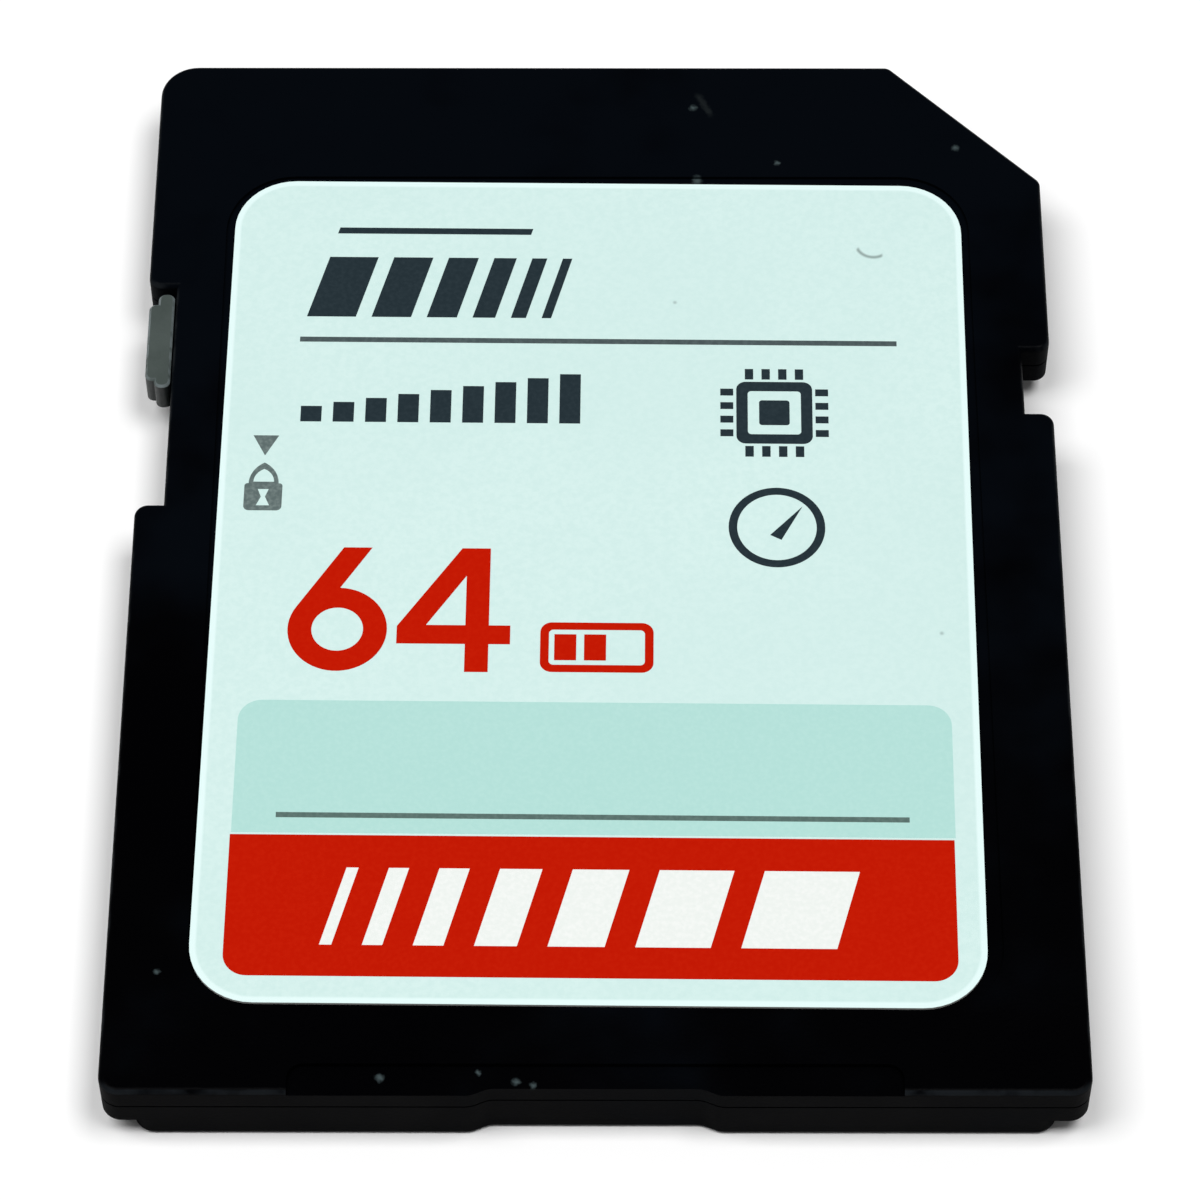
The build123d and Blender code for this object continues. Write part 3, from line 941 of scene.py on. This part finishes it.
def stripes(widths, left, bottom, height, gap):
    """A row of stripes that lean to the right."""
    loops = []
    for width in widths:
        loops.append(slanted(left, bottom, width, height, height * STRIPE_SLANT))
        left += width + gap
    return loops


def print_stripes():
    print_piece("print_stripes", stripes(STRIPE_WIDTHS, **STRIPES), "ink_slate", MARK_LIFT)
    print_piece("print_overline", stripes([OVERLINE_WIDTH], **OVERLINE), "ink_slate", MARK_LIFT)
    print_piece("print_band_stripes", stripes(BAND_STRIPE_WIDTHS, **BAND_STRIPES), "ink_white", MARK_LIFT)


# Bars that rise along the row
BAR_COUNT = 9
BAR_LEFT = -7.75
BAR_BOTTOM = 4.7
BAR_WIDTH = 0.55
BAR_PITCH = 0.85
BAR_HEIGHT = 0.5
BAR_GROWTH = 0.1375


def print_bars():
    loops = []
    for i in range(BAR_COUNT):
        left = BAR_LEFT + BAR_PITCH * i
        loops.append(box(left, BAR_BOTTOM, left + BAR_WIDTH, BAR_BOTTOM + BAR_HEIGHT + BAR_GROWTH * i))
    print_piece("print_bars", loops, "ink_slate", MARK_LIFT)


# A chip with its pins
CHIP = {"left": 3.7, "bottom": 4.1, "right": 5.7, "top": 6.1}
CHIP_CORNER = 0.25
CHIP_WALL = 0.3
CHIP_INNER_CORNER = 0.1
DIE_INSET = 0.6
DIE_CORNER = 0.08
PIN_COUNT = 4
PIN_START = 0.23
PIN_PITCH = 0.44
PIN_WIDTH = 0.22
PIN_LENGTH = 0.34
PIN_GAP = 0.08


def print_chip():
    loops = [
        box(**CHIP, lower=CHIP_CORNER, upper=CHIP_CORNER),
        box(**inset(CHIP, CHIP_WALL), lower=CHIP_INNER_CORNER, upper=CHIP_INNER_CORNER),
        box(**inset(CHIP, DIE_INSET), lower=DIE_CORNER, upper=DIE_CORNER),
    ]
    feet = inset(CHIP, -PIN_GAP)
    tips = inset(CHIP, -PIN_GAP - PIN_LENGTH)
    for i in range(PIN_COUNT):
        x = CHIP["left"] + PIN_START + PIN_PITCH * i
        y = CHIP["bottom"] + PIN_START + PIN_PITCH * i
        loops += [
            box(x, tips["bottom"], x + PIN_WIDTH, feet["bottom"]),
            box(x, feet["top"], x + PIN_WIDTH, tips["top"]),
            box(tips["left"], y, feet["left"], y + PIN_WIDTH),
            box(feet["right"], y, tips["right"], y + PIN_WIDTH),
        ]
    print_piece("print_chip", loops, "ink_slate", MARK_LIFT)


# A gauge with its needle
GAUGE_CENTRE = (4.735, 1.44)
GAUGE_OUTER = 1.25
GAUGE_INNER = 1.03
NEEDLE = [(4.56, 1.2), (4.85, 1.05), (5.4, 2.1)]


def print_gauge():
    loops = [circle(*GAUGE_CENTRE, GAUGE_OUTER), circle(*GAUGE_CENTRE, GAUGE_INNER), NEEDLE]
    print_piece("print_gauge", loops, "ink_slate", MARK_LIFT)


def print_label():
    for name, tones in INKS.items():
        ink(name, *tones)
    print_fields()
    print_rules()
    print_switch_marks()
    print_number()
    print_stripes()
    print_bars()
    print_chip()
    print_gauge()


add_camera()
add_light()
add_floor()
finish_nodes()
print_label()
